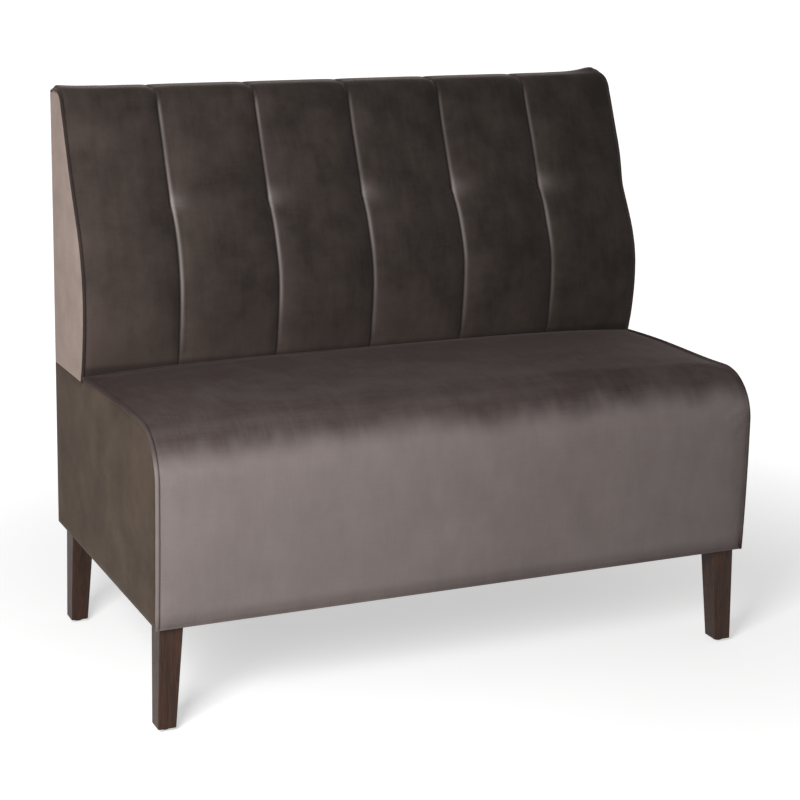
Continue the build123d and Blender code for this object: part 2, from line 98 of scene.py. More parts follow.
def seenRay(nodes, links):
    path = nodes.new("ShaderNodeLightPath")
    add = nodes.new("ShaderNodeMath")
    add.operation = "MAXIMUM"
    links.new(path.outputs["Is Camera Ray"], add.inputs[0])
    links.new(path.outputs["Is Glossy Ray"], add.inputs[1])
    return add.outputs[0]


sky = bpy.data.worlds.new("studioSky")
bpy.context.scene.world = sky
sky.use_nodes = True
skyNodes, skyLinks = sky.node_tree.nodes, sky.node_tree.links
skyNodes.clear()
seen = seenRay(skyNodes, skyLinks)
strength = skyNodes.new("ShaderNodeMapRange")
strength.inputs["To Min"].default_value = studio["skyStrength"]
strength.inputs["To Max"].default_value = 1
glow = skyNodes.new("ShaderNodeBackground")
glow.inputs["Color"].default_value = (1, 1, 1, 1)
skyOut = skyNodes.new("ShaderNodeOutputWorld")
skyLinks.new(seen, strength.inputs["Value"])
skyLinks.new(strength.outputs["Result"], glow.inputs["Strength"])
skyLinks.new(glow.outputs[0], skyOut.inputs["Surface"])

bpy.ops.mesh.primitive_plane_add(size=400)
floor = bpy.context.object
floor.name = "studioFloor"
paint = bpy.data.materials.new("floorPaint")
paint.use_nodes = True
floorNodes, floorLinks = paint.node_tree.nodes, paint.node_tree.links
floorShader = floorNodes["Principled BSDF"]
floorShader.inputs["Base Color"].default_value = (0.66, 0.66, 0.66, 1)
floorShader.inputs["Roughness"].default_value = 0.9
floorShader.inputs["Specular IOR Level"].default_value = 0
floorShader.inputs["Emission Color"].default_value = (1, 1, 1, 1)
floorPlace = floorNodes.new("ShaderNodeTexCoord")
away = floorNodes.new("ShaderNodeVectorMath")
away.operation = "LENGTH"
floorLinks.new(floorPlace.outputs["Object"], away.inputs[0])
reach = floorNodes.new("ShaderNodeMapRange")  # the floor turns plain white away from the bench
reach.interpolation_type = "SMOOTHSTEP"
reachValues = {
    "From Min": studio["nearReach"], "From Max": studio["farReach"],
    "To Min": studio["nearLift"], "To Max": studio["farLift"],
}
for label, value in reachValues.items():
    reach.inputs[label].default_value = value
floorLinks.new(away.outputs["Value"], reach.inputs["Value"])
lift = floorNodes.new("ShaderNodeMath")
lift.operation = "MULTIPLY"
floorLinks.new(seenRay(floorNodes, floorLinks), lift.inputs[0])
floorLinks.new(reach.outputs["Result"], lift.inputs[1])
floorLinks.new(lift.outputs[0], floorShader.inputs["Emission Strength"])
floor.data.materials.append(paint)
print("studio ready")


# Node groups that several finishes share
def newGroup(name, inputs, outputs):
    group = bpy.data.node_groups.new(name, "ShaderNodeTree")
    for label, kind, value in inputs:
        made = group.interface.new_socket(name=label, in_out="INPUT", socket_type=kind)
        if value is not None:
            made.default_value = value
    for label, kind in outputs:
        group.interface.new_socket(name=label, in_out="OUTPUT", socket_type=kind)
    return group, group.nodes.new("NodeGroupInput"), group.nodes.new("NodeGroupOutput")


def put(group, kind, **settings):
    node = group.nodes.new(kind)
    for key, value in settings.items():
        if key in node.bl_rna.properties:
            setattr(node, key, value)
        else:
            node.inputs[key.replace("_", " ")].default_value = value
    return node


def stretchedNoise(group, vector, stretch, scale, detail=2.0, rough=0.5):
    place = put(group, "ShaderNodeMapping", Scale=stretch)
    fine = put(group, "ShaderNodeTexNoise", Scale=scale, Detail=detail, Roughness=rough)
    group.links.new(vector, place.inputs["Vector"])
    group.links.new(place.outputs[0], fine.inputs["Vector"])
    return fine.outputs["Fac"]


def weigh(group, value, weight, total=None):
    part = put(group, "ShaderNodeMath", operation="MULTIPLY_ADD")
    group.links.new(value, part.inputs[0])
    if isinstance(weight, (int, float)):
        part.inputs[1].default_value = weight
    else:
        group.links.new(weight, part.inputs[1])
    if total is None:
        part.inputs[2].default_value = 0
    else:
        group.links.new(total, part.inputs[2])
    return part.outputs[0]


def centred(group, value):
    shifted = put(group, "ShaderNodeMath", operation="SUBTRACT")
    group.links.new(value, shifted.inputs[0])
    shifted.inputs[1].default_value = 0.5
    return shifted.outputs[0]


# Brushed velvet: cloudy nap, brush strokes, faint ground threads and pile grain
velvetNap, napIn, napOut = newGroup(
    "velvetNap",
    [
        ("Vector", "NodeSocketVector", None),
        ("Pile", "NodeSocketColor", (0.05, 0.04, 0.04, 1)),
        ("Brushed", "NodeSocketColor", (0.1, 0.09, 0.08, 1)),
        ("Lean", "NodeSocketFloat", 0.4),
        ("Clouds", "NodeSocketFloat", 0.8),
        ("Strokes", "NodeSocketFloat", 0.6),
        ("Threads", "NodeSocketFloat", 0.4),
    ],
    [("Color", "NodeSocketColor"), ("Roughness", "NodeSocketFloat"), ("Height", "NodeSocketFloat")],
)
napVector = napIn.outputs["Vector"]
clouds = centred(velvetNap, stretchedNoise(velvetNap, napVector, (1, 1, 1), 13, 5, 0.62))
strokes = centred(velvetNap, stretchedNoise(velvetNap, napVector, (7, 1.6, 1.6), 9, 3, 0.6))
uprightThreads = centred(velvetNap, stretchedNoise(velvetNap, napVector, (60, 2, 2), 10, 2))
crossThreads = centred(velvetNap, stretchedNoise(velvetNap, napVector, (2, 2, 60), 10, 2))
pileGrain = stretchedNoise(velvetNap, napVector, (1, 1, 1), 1100, 2, 0.7)
napSum = weigh(velvetNap, clouds, napIn.outputs["Clouds"], napIn.outputs["Lean"])
napSum = weigh(velvetNap, strokes, napIn.outputs["Strokes"], napSum)
napSum = weigh(velvetNap, uprightThreads, napIn.outputs["Threads"], napSum)
napSum = weigh(velvetNap, crossThreads, napIn.outputs["Threads"], napSum)
napSum = weigh(velvetNap, centred(velvetNap, pileGrain), 0.3, napSum)
napMix = put(velvetNap, "ShaderNodeMix", data_type="RGBA")
napMix.clamp_factor = True
velvetNap.links.new(napSum, napMix.inputs[0])
velvetNap.links.new(napIn.outputs["Pile"], napMix.inputs[6])
velvetNap.links.new(napIn.outputs["Brushed"], napMix.inputs[7])
velvetNap.links.new(napMix.outputs[2], napOut.inputs["Color"])
napRough = put(velvetNap, "ShaderNodeMapRange", To_Min=0.78, To_Max=0.95)
velvetNap.links.new(pileGrain, napRough.inputs["Value"])
velvetNap.links.new(napRough.outputs[0], napOut.inputs["Roughness"])
napHeight = weigh(velvetNap, pileGrain, 0.35)
napHeight = weigh(velvetNap, uprightThreads, 0.25, napHeight)
napHeight = weigh(velvetNap, clouds, 0.9, napHeight)
velvetNap.links.new(napHeight, napOut.inputs["Height"])

# Wood grain that runs along one axis, with pores and slow bands
woodGrain, grainIn, grainOut = newGroup(
    "woodGrain",
    [
        ("Vector", "NodeSocketVector", None),
        ("Early", "NodeSocketColor", (0.3, 0.2, 0.1, 1)),
        ("Late", "NodeSocketColor", (0.2, 0.12, 0.06, 1)),
        ("Shine", "NodeSocketFloat", 0.45),
    ],
    [("Color", "NodeSocketColor"), ("Roughness", "NodeSocketFloat"), ("Height", "NodeSocketFloat")],
)
grainVector = grainIn.outputs["Vector"]
bands = stretchedNoise(woodGrain, grainVector, (14, 14, 1), 6, 5, 0.62)
pores = stretchedNoise(woodGrain, grainVector, (60, 60, 3), 14, 2)
grainSum = weigh(woodGrain, centred(woodGrain, pores), 0.9, bands)
grainMix = put(woodGrain, "ShaderNodeMix", data_type="RGBA")
grainSharp = put(woodGrain, "ShaderNodeMapRange", From_Min=0.3, From_Max=0.7)
woodGrain.links.new(grainSum, grainSharp.inputs["Value"])
woodGrain.links.new(grainSharp.outputs[0], grainMix.inputs[0])
woodGrain.links.new(grainIn.outputs["Early"], grainMix.inputs[6])
woodGrain.links.new(grainIn.outputs["Late"], grainMix.inputs[7])
woodGrain.links.new(grainMix.outputs[2], grainOut.inputs["Color"])
grainRough = weigh(woodGrain, pores, 0.25, grainIn.outputs["Shine"])
woodGrain.links.new(grainRough, grainOut.inputs["Roughness"])
woodGrain.links.new(pores, grainOut.inputs["Height"])


def newFinish(name):
    finish = bpy.data.materials.new(name)
    finish.use_nodes = True
    return finish, finish.node_tree, finish.node_tree.nodes["Principled BSDF"]


def dress(tree, shader, group, values, bumpDepth, bumpStrength=1.0, turned=(0, 0, 0)):
    where = tree.nodes.new("ShaderNodeTexCoord")
    place = tree.nodes.new("ShaderNodeMapping")
    place.inputs["Rotation"].default_value = turned
    pattern = tree.nodes.new("ShaderNodeGroup")
    pattern.node_tree = group
    for key, value in values.items():
        pattern.inputs[key].default_value = value
    bump = tree.nodes.new("ShaderNodeBump")
    bump.inputs["Strength"].default_value = bumpStrength
    bump.inputs["Distance"].default_value = bumpDepth
    tree.links.new(where.outputs["Object"], place.inputs["Vector"])
    tree.links.new(place.outputs[0], pattern.inputs["Vector"])
    tree.links.new(pattern.outputs["Color"], shader.inputs["Base Color"])
    tree.links.new(pattern.outputs["Roughness"], shader.inputs["Roughness"])
    tree.links.new(pattern.outputs["Height"], bump.inputs["Height"])
    tree.links.new(bump.outputs[0], shader.inputs["Normal"])
    return pattern


def velvet(name, pile, brushed, lean, clouds=0.8, strokes=0.6, threads=0.4, sheen=0.35, turned=(0, 0, 0)):
    finish, tree, shader = newFinish(name)
    values = {
        "Pile": (*pile, 1), "Brushed": (*brushed, 1), "Lean": lean,
        "Clouds": clouds, "Strokes": strokes, "Threads": threads,
    }
    pattern = dress(tree, shader, velvetNap, values, 0.0006, 0.7, turned)
    shader.inputs["Specular IOR Level"].default_value = 0.12
    shader.inputs["Sheen Weight"].default_value = sheen
    shader.inputs["Sheen Roughness"].default_value = 0.42
    shader.inputs["Sheen Tint"].default_value = (0.62, 0.52, 0.48, 1)
    return finish, tree, pattern


def wood(name, early, late, shine, coat=0.0, turned=(0, 0, 0), depth=0.0003):
    finish, tree, shader = newFinish(name)
    dress(tree, shader, woodGrain, {"Early": (*early, 1), "Late": (*late, 1), "Shine": shine}, depth, 0.5, turned)
    shader.inputs["Specular IOR Level"].default_value = 0.22
    shader.inputs["Coat Weight"].default_value = coat
    shader.inputs["Coat Roughness"].default_value = 0.22
    return finish


quarter = math.radians(90)
backVelvet, backTree, backPattern = velvet(
    "backVelvet", (0.0160, 0.0131, 0.0112), (0.0665, 0.0490, 0.0428), 0.4, 1.2, 0.4, 0.16, 0.2
)
# The seat's pale colour paints the sheen and light down its front, the dark one lies on top
seatVelvet, seatTree, seatPattern = velvet(
    "seatVelvet", (0.0282, 0.0173, 0.0158), (0.194, 0.163, 0.155), 0.0, 0.3, 0.14, 0.12, 0.07
)
# One velvet in two painted tones: the back's side panels get a pale copy that paints the sheen and light on them,
# the seat's sides a dark copy
backSideLitVelvet = velvet(
    "backSideLitVelvet", (0.225, 0.168, 0.142), (0.4, 0.315, 0.276), 0.5, 1.2, 0.5, 0.25, 0.3
)[0]
seatSideDarkVelvet = velvet(
    "seatSideDarkVelvet", (0.0285, 0.0180, 0.0105), (0.080, 0.0550, 0.0352), 0.4, 1.8, 0.5, 0.25, 0.16
)[0]
rearVelvet = velvet("rearVelvet", (0.05, 0.04, 0.036), (0.12, 0.1, 0.09), 0.4, 0.8, 0.6, 0.4, 0.25)[0]
pipingVelvet = velvet("pipingVelvet", (0.02, 0.015, 0.014), (0.05, 0.036, 0.032), 0.4, 0.8, 0.4, 0.4, 0.25)[0]
legWood = wood("legWood", (0.050, 0.0205, 0.0108), (0.0145, 0.0068, 0.0042), 0.38, 0.04)

# Painted sheen and light on the seat, partly its real brushed nap: light down the front and dark on top, with a
# ragged border
napSheenShare = seatTree.nodes.new("ShaderNodeAttribute")
napSheenShare.attribute_name = "napSheenShare"
ragged = stretchedNoise(seatTree, seatTree.nodes["Texture Coordinate"].outputs["Object"], (1.7, 1, 1), 8, 2, 0.55)
border = weigh(seatTree, centred(seatTree, ragged), 0.46, napSheenShare.outputs["Fac"])
edge = seatTree.nodes.new("ShaderNodeMapRange")
edge.interpolation_type = "SMOOTHSTEP"
for label, value in {"From Min": 0.26, "From Max": 0.87, "To Min": 0, "To Max": 0.92}.items():
    edge.inputs[label].default_value = value
seatTree.links.new(border, edge.inputs["Value"])
seatLightShare = seatTree.nodes.new("ShaderNodeAttribute")
seatLightShare.attribute_name = "seatLightShare"
seatTree.links.new(weigh(seatTree, seatLightShare.outputs["Fac"], 1, edge.outputs[0]), seatPattern.inputs["Lean"])

# The back's colour leans pale by its painted light
backLightShare = backTree.nodes.new("ShaderNodeAttribute")
backLightShare.attribute_name = "backLightShare"
backTree.links.new(backLightShare.outputs["Fac"], backPattern.inputs["Lean"])

# Painted highlights on the flank right of each seam and beside each tuft, and painted shade in each seam and to its
# left
seamHighlightShare = backTree.nodes.new("ShaderNodeAttribute")
seamHighlightShare.attribute_name = "seamHighlightShare"
seamShadeShare = backTree.nodes.new("ShaderNodeAttribute")
seamShadeShare.attribute_name = "seamShadeShare"
highlightMix = put(backTree, "ShaderNodeMix", data_type="RGBA")
highlightMix.inputs[7].default_value = (0.3, 0.26, 0.245, 1)
seamShadeMix = put(backTree, "ShaderNodeMix", data_type="RGBA")
seamShadeMix.inputs[7].default_value = (0.008, 0.006, 0.006, 1)
backTree.links.new(seamHighlightShare.outputs["Fac"], highlightMix.inputs[0])
backTree.links.new(backPattern.outputs["Color"], highlightMix.inputs[6])
backTree.links.new(seamShadeShare.outputs["Fac"], seamShadeMix.inputs[0])
backTree.links.new(highlightMix.outputs[2], seamShadeMix.inputs[6])
backTree.links.new(seamShadeMix.outputs[2], backTree.nodes["Principled BSDF"].inputs["Base Color"])
print("finishes ready")

# Side view of the bench in metres, as the solids have it
side = {
    "rear": 0.305, "outer": 0.549, "step": 0.0053, "underside": 0.179,
    "deck": 0.482, "backTop": 0.984, "lumbarReach": 0.201, "crestReach": 0.077,
    "lumbarShare": 0.279, "shoulderShare": 0.564, "tuftShare": 0.61,
    "shoulderReachShare": 0.71, "footTuck": 0.023, "crestDrop": 0.024, "rearRound": 0.006,
    "seatRear": 0.496, "seatFront": 0.504, "edgeRadius": 0.086, "crown": 0.011,
    "belly": 0.004, "toe": 0.007, "bow": 0.003, "channels": 6,
    "seamLeanShare": 0.085, "seamLeanPower": 1.5, "crownFade": 0.11, "seatRearY": 0.1179,
}
core = side["outer"] - side["step"]
rearY = side["rear"]
deckZ = side["deck"]
rise = side["backTop"] - deckZ
lumbarZ = deckZ + side["lumbarShare"] * rise
shoulderZ = deckZ + side["shoulderShare"] * rise
tuftZ = deckZ + side["tuftShare"] * rise
crestZ = side["backTop"] - side["crestDrop"]
lumbarY = rearY - side["lumbarReach"]
crestY = rearY - side["crestReach"]
shoulderY = crestY + side["shoulderReachShare"] * (lumbarY - crestY)
lowRadius = (side["footTuck"] ** 2 + (lumbarZ - deckZ) ** 2) / (2 * side["footTuck"])
midRadius = ((shoulderY - lumbarY) ** 2 + (shoulderZ - lumbarZ) ** 2) / (2 * (shoulderY - lumbarY))
shoulderTurn = 2 * math.atan2(shoulderY - lumbarY, shoulderZ - lumbarZ)
crestTurn = 2 * math.atan2(crestY - shoulderY, crestZ - shoulderZ) - shoulderTurn
highChord = math.hypot(crestZ - shoulderZ, crestY - shoulderY)
highRadius = highChord / (2 * math.sin((shoulderTurn - crestTurn) / 2))
highY = shoulderY - highRadius * math.cos(shoulderTurn)
highZ = shoulderZ + highRadius * math.sin(shoulderTurn)
topRadius = side["crestDrop"] / (1 - math.sin(crestTurn))
topY = crestY + topRadius * math.cos(crestTurn)
topZ = side["backTop"] - topRadius
seatRearY = side["seatRearY"]
toeY = -rearY + side["belly"] + side["toe"]


def backY(z):
    if z < lumbarZ:
        return lumbarY + lowRadius - math.sqrt(lowRadius**2 - (lumbarZ - z) ** 2)
    if z < shoulderZ:
        return lumbarY + midRadius - math.sqrt(midRadius**2 - (z - lumbarZ) ** 2)
    return highY + math.sqrt(highRadius**2 - (z - highZ) ** 2)


def backTurn(z):
    if z < lumbarZ:
        return -math.atan2(lumbarZ - z, lowRadius)
    if z < shoulderZ:
        return math.atan2(z - lumbarZ, midRadius)
    return math.atan2(highZ - z, backY(z) - highY)


# Outline of the back from its foot over the top: points with their outward normals
def backOutline(inset, low, steps, arcSteps):
    line = []
    for k in range(steps + 1):
        z = low + (crestZ - low) * k / steps
        t = backTurn(z)
        n = (-math.cos(t), math.sin(t))
        line.append(((backY(z) - inset * n[0], z - inset * n[1]), n))
    for k in range(1, arcSteps + 1):
        t = crestTurn + (quarter - crestTurn) * k / arcSteps
        n = (-math.cos(t), math.sin(t))
        line.append(((topY + (topRadius - inset) * n[0], topZ + (topRadius - inset) * n[1]), n))
    return line


def arcPoints(a, b, c, steps):
    (ax, ay), (bx, by), (cx, cy) = a, b, c
    d = 2 * (ax * (by - cy) + bx * (cy - ay) + cx * (ay - by))
    ux = ((ax**2 + ay**2) * (by - cy) + (bx**2 + by**2) * (cy - ay) + (cx**2 + cy**2) * (ay - by)) / d
    uy = ((ax**2 + ay**2) * (cx - bx) + (bx**2 + by**2) * (ax - cx) + (cx**2 + cy**2) * (bx - ax)) / d
    r = math.hypot(ax - ux, ay - uy)
    angles = [math.atan2(y - uy, x - ux) for x, y in (a, b, c)]
    for k in (1, 2):
        while angles[k] - angles[k - 1] > math.pi:
            angles[k] -= 2 * math.pi
        while angles[k] - angles[k - 1] < -math.pi:
            angles[k] += 2 * math.pi
    start, end = angles[0], angles[2]
    return [
        (ux + r * math.cos(start + (end - start) * k / steps), uy + r * math.sin(start + (end - start) * k / steps))
        for k in range(steps + 1)
    ]


# Outline of the seat from its rear edge over the front down to the toe
def seatOutline(crownShare, inset, topSteps, bendSteps, faceSteps):
    lift = crownShare * side["crown"] - inset
    faceY = -rearY + side["belly"] * (1 - crownShare) + inset
    bend = side["edgeRadius"] - inset
    rear = (seatRearY, side["seatRear"] + lift)
    nose = (faceY + bend, side["seatFront"] + lift)
    half = math.sqrt(0.5)
    corner = (nose[0] - bend * half, nose[1] - bend * (1 - half))
    brow = (faceY, nose[1] - bend)
    toe = (toeY + inset, side["underside"])
    back = toe[0] - brow[0]
    drop = brow[1] - toe[1]
    bellyRadius = (back**2 + drop**2) / (2 * back)
    belly = (brow[0] + bellyRadius - math.sqrt(bellyRadius**2 - (drop / 2) ** 2), brow[1] - drop / 2)
    middle = ((rear[0] + nose[0]) / 2, (rear[1] + nose[1]) / 2 + side["bow"])
    top = arcPoints(rear, middle, nose, topSteps)
    turned = arcPoints(nose, corner, brow, bendSteps)
    face = arcPoints(brow, belly, toe, faceSteps)
    return top + turned[1:] + face[1:]


def smooth(x):
    x = min(max(x, 0), 1)
    return x * x * (3 - 2 * x)


def crownAt(z):
    return smooth((z - deckZ) / side["crownFade"]) * smooth((crestZ - z) / side["crownFade"])


def onlyActive(piece):
    bpy.ops.object.select_all(action="DESELECT")
    piece.select_set(True)
    bpy.context.view_layer.objects.active = piece


def applyAll(piece):
    onlyActive(piece)
    for modifier in list(piece.modifiers):
        bpy.ops.object.modifier_apply(modifier=modifier.name)


# A grid whose points a function then lays in place
def laidGrid(name, columns, rows, lay):
    bpy.ops.object.select_all(action="DESELECT")
    bpy.ops.mesh.primitive_grid_add(x_subdivisions=columns, y_subdivisions=rows, size=1)
    piece = bpy.context.object
    piece.name = name
    piece.data.name = name
    for v in piece.data.vertices:
        v.co = Vector(lay(v.co.x + 0.5, v.co.y + 0.5))
    return piece


def thicken(piece, thickness, offset=-1.0, roundEdge=0.0):
    solid = piece.modifiers.new("thickness", "SOLIDIFY")
    solid.thickness = thickness
    solid.offset = offset
    if roundEdge:
        soft = piece.modifiers.new("roundEdge", "BEVEL")
        soft.width = roundEdge
        soft.segments = 3
        soft.limit_method = "ANGLE"
        soft.angle_limit = math.radians(50)
    applyAll(piece)
    bpy.ops.object.mode_set(mode="EDIT")
    bpy.ops.mesh.select_all(action="SELECT")
    bpy.ops.mesh.normals_make_consistent(inside=False)
    bpy.ops.object.mode_set(mode="OBJECT")
    bpy.ops.object.shade_smooth_by_angle(angle=math.radians(50))


# A cloth simulation on every second row and column swells a cover between the lines that hold it
filling = {
    "pressure": 4, "slack": 0.001, "quality": 3, "frames": 20, "backCap": 0.0024, "seatCap": 0.0022,
    "mass": 0.2, "stretch": 20, "shear": 8, "bending": 0.6, "damping": 8, "air": 2,
}


def swell(piece, columns, rows, lay, isHeld, cap):
    columns, rows = columns // 2, rows // 2
    trial = laidGrid("clothTrial", columns, rows, lay)
    held = trial.vertex_groups.new(name="held")
    for v in trial.data.vertices:
        if isHeld(2 * (v.index % (columns + 1)), 2 * (v.index // (columns + 1))):
            held.add([v.index], 1, "REPLACE")
    cloth = trial.modifiers.new("filling", "CLOTH")
    settings = cloth.settings
    settings.quality = filling["quality"]
    settings.mass = filling["mass"]
    settings.tension_stiffness = settings.compression_stiffness = filling["stretch"]
    settings.shear_stiffness = filling["shear"]
    settings.bending_stiffness = filling["bending"]
    settings.tension_damping = settings.compression_damping = filling["damping"]
    settings.air_damping = filling["air"]
    settings.vertex_group_mass = "held"
    settings.use_pressure = True
    settings.uniform_pressure_force = filling["pressure"]
    settings.shrink_min = -filling["slack"]
    settings.effector_weights.gravity = 0
    cloth.collision_settings.use_collision = False
    cloth.point_cache.frame_start, cloth.point_cache.frame_end = 1, filling["frames"]
    start = [v.co.copy() for v in trial.data.vertices]
    for frameNumber in range(1, filling["frames"] + 1):
        bpy.context.scene.frame_set(frameNumber)
    applyAll(trial)
    bpy.context.scene.frame_set(1)
    moves = []
    for v, place in zip(trial.data.vertices, start):
        move = v.co - place
        size = max(move.length, 1e-7)
        moves.append(move * (cap * math.tanh(size / cap) / size))
    bpy.data.objects.remove(trial)
    for v in piece.data.vertices:
        i, j = v.index % (2 * columns + 1), v.index // (2 * columns + 1)
        near = [moves[b * (columns + 1) + a] for a in {i // 2, (i + 1) // 2} for b in {j // 2, (j + 1) // 2}]
        v.co += sum(near, Vector()) / len(near)


def dressed(piece, finish, slot, *nodes):
    piece.data.materials.clear()
    piece.data.materials.append(finish)
    if nodes:
        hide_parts(*nodes)
    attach(piece, "root")
    return piece


# The right end of the back is drawn in at tuft height, and the right end of the seat lies a little lower
ends = {
    "drawIn": 0.0044, "drawBack": 0.0095, "drawZ": 0.768, "drawAbove": 0.048, "drawBelow": 0.08,
    "drawReach": 0.035, "drawDepth": 0.03,
    "sag": 0.0042, "sagY": -0.15, "sagFront": 0.085, "sagRear": 0.13,
    "sagReach": 0.05, "sagZ": 0.44, "sagHeight": 0.05,
}


def bell(value, place, width):
    return math.exp(-(((value - place) / width) ** 2))


def drawEnd(piece):
    for v in piece.data.vertices:
        x, y, z = v.co
        share = math.exp(-((max(core - x, 0) / ends["drawReach"]) ** 1.5))
        share *= bell(z, ends["drawZ"], ends["drawAbove" if z > ends["drawZ"] else "drawBelow"])
        share *= math.exp(-max(y - backY(min(z, crestZ)), 0) / ends["drawDepth"])
        v.co.x -= ends["drawIn"] * share
        v.co.y += ends["drawBack"] * share


def lowerEnd(piece):
    for v in piece.data.vertices:
        x, y, z = v.co
        share = math.exp(-((max(core - x, 0) / ends["sagReach"]) ** 1.5))
        share *= smooth((z - ends["sagZ"]) / ends["sagHeight"])
        share *= bell(y, ends["sagY"], ends["sagFront" if y < ends["sagY"] else "sagRear"])
        v.co.z -= ends["sag"] * share


# Quilted cover of the back
quilt = {
    "seamDepth": 0.0046, "seamWidth": 0.0048, "crown": 0.0065, "fullness": 2.8,
    "tuftDepth": 0.006, "tuftSpread": 0.019, "pinch": 0.0014, "padding": 0.014,
    "cornerRound": 0.0045, "leftLift": 0.003, "rightLift": 0.0098, "liftReach": 0.03, "liftStart": 0.955,
    "liftHeight": 0.026, "liftPeak": 0.022, "liftRear": 0.03, "liftFront": 0.018,
    "drift": 0.0012, "driftRight": 0.0052, "driftTop": 0.735, "driftReach": 0.09,
    "endDip": 0.002, "endWidth": 0.004, "endLift": 0.0004, "hollow": 0.0022, "hollowWidth": 0.022,
    "footPinch": 0.004, "footReach": 0.035, "footWidth": 0.015, "foldReach": 0.02, "foldStart": 0.006,
    "crowding": 0.78, "unevenness": 0.0011, "fineness": 0.0004, "sway": 0.0018,
    "deepest": 0.0118, "columns": 38, "rows": 180, "tuftRows": 1.6, "topRows": 1.2,
}
channel = 2 * core / side["channels"]
seamLeans = [
    side["seamLeanShare"] * (1 - k / side["channels"]) ** side["seamLeanPower"]
    for k in range(side["channels"] + 1)
]
seamPlaces = [-core + channel * (k - lean) for k, lean in enumerate(seamLeans)]
seamPlaces[0] = -core


def outlineLengths(line):
    total = [0.0]
    for (a, _), (b, _) in zip(line, line[1:]):
        total.append(total[-1] + math.dist(a, b))
    return total


quiltLine = backOutline(0, deckZ + 0.001, 200, 24)
flatEnd = rearY - side["rearRound"]
for k in range(1, 9):
    quiltLine.append(((topY + (flatEnd - topY) * k / 8, side["backTop"]), (0.0, 1.0)))
for k in range(1, 7):
    a = quarter * k / 6
    n = (math.sin(a), math.cos(a))
    centreZ = side["backTop"] - side["rearRound"]
    quiltLine.append(((flatEnd + side["rearRound"] * n[0], centreZ + side["rearRound"] * n[1]), n))
for k in range(1, 5):
    quiltLine.append(((rearY, side["backTop"] - side["rearRound"] - 0.012 * k / 4), (1.0, 0.0)))
quiltLengths = outlineLengths(quiltLine)
tuftAt = next(s for s, (p, n) in zip(quiltLengths, quiltLine) if p[1] >= tuftZ)
topStart = quiltLengths[200]


def evenShares(length, density, count):
    samples = 2000
    total = [0.0]
    for k in range(samples):
        total.append(total[-1] + density(length * (k + 0.5) / samples))
    shares, k = [], 0
    for want in range(count + 1):
        target = total[-1] * want / count
        while k < samples and total[k + 1] < target:
            k += 1
        part = (target - total[k]) / (total[k + 1] - total[k]) if k < samples else 0
        shares.append(length * (k + part) / samples)
    return shares


rowPlaces = evenShares(
    quiltLengths[-1],
    lambda s: 1 + quilt["tuftRows"] * bell(s, tuftAt, 0.03) + (quilt["topRows"] if s > topStart - 0.01 else 0),
    quilt["rows"],
)


def alongLine(line, lengths, s):
    low, high = 0, len(lengths) - 1
    while high - low > 1:
        mid = (low + high) // 2
        if lengths[mid] <= s:
            low = mid
        else:
            high = mid
    t = (s - lengths[low]) / (lengths[high] - lengths[low])
    (a, na), (b, nb) = line[low], line[high]
    t = min(max(t, 0), 1)
    mixed = [(1 - t) * p + t * q for p, q in zip((*a, *na), (*b, *nb))]
    size = math.hypot(mixed[2], mixed[3])
    return mixed[0], mixed[1], mixed[2] / size, mixed[3] / size


def quiltOffset(x, z, s, k):
    wide = seamPlaces[k + 1] - seamPlaces[k]
    inside = min(max((x - seamPlaces[k]) / wide, 0), 1)
    away = min(inside, 1 - inside) * wide
    nearest = k if inside < 0.5 else k + 1
    endSeam = nearest in (0, side["channels"])
    fade = 1 - 0.3 * smooth((s - topStart + 0.02) / 0.05) - 0.6 * smooth((s - topStart - 0.045) / 0.05)
    fade *= 0.45 + 0.55 * smooth((z - deckZ - 0.02) / 0.07)
    full = quilt["crown"] * crownAt(z)
    bulge = full * (1 - abs(2 * inside - 1) ** quilt["fullness"])
    if endSeam:
        return bulge - quilt["endDip"] * bell(away, 0, quilt["endWidth"]) + quilt["endLift"]
    crease = quilt["seamDepth"] * math.exp(-abs(away / quilt["seamWidth"]) ** 1.5)
    crease += quilt["hollow"] * bell(away, 0, quilt["hollowWidth"])
    dx = x - seamPlaces[nearest]
    ds = s - tuftAt
    far = math.hypot(dx, ds * 0.8)
    dimple = quilt["tuftDepth"] * math.exp(-((far / quilt["tuftSpread"]) ** 1.15))
    angle = math.atan2(ds, dx)
    folds = quilt["pinch"] * math.cos(7 * angle + nearest)
    folds = folds * math.exp(-far / quilt["foldReach"]) * smooth(far / quilt["foldStart"])
    footPinch = quilt["footPinch"] * bell(s, 0, quilt["footReach"]) * bell(away, 0, quilt["footWidth"])
    return max(bulge - (crease + dimple + footPinch) * fade + folds, -quilt["deepest"])


# A seam wanders a little, and leans to the right below its tuft
def seamSway(k, z):
    if k in (0, side["channels"]):
        return 0
    free = smooth((z - deckZ) / 0.04) * (1 - smooth((z - crestZ) / 0.02))
    wander = quilt["sway"] * noise.noise(Vector((k * 3.7, z * 9, 1)))
    drift = quilt["drift"] + quilt["driftRight"] * (k / side["channels"]) ** 2
    return (wander + drift * smooth((quilt["driftTop"] - z) / quilt["driftReach"])) * free


# The two top corners of the back are rounded, seen from the front, and their cord lifts the ends a little,
# the right one most just before the rear
def cornerDrop(x, z, y):
    r = quilt["cornerRound"]
    past = min(max(abs(x) - core + r, 0), r)
    lift = quilt["rightLift" if x > 0 else "leftLift"]
    lift *= math.exp(-((max(core - abs(x), 0) / quilt["liftReach"]) ** 1.5))
    lift *= smooth((z - quilt["liftStart"]) / quilt["liftHeight"])
    if x > 0:
        peakY = rearY - quilt["liftPeak"]
        lift *= 0.25 + 0.75 * bell(y, peakY, quilt["liftRear" if y > peakY else "liftFront"])
    return (r - math.sqrt(r * r - past * past)) * smooth((z - 0.93) / 0.035) - lift


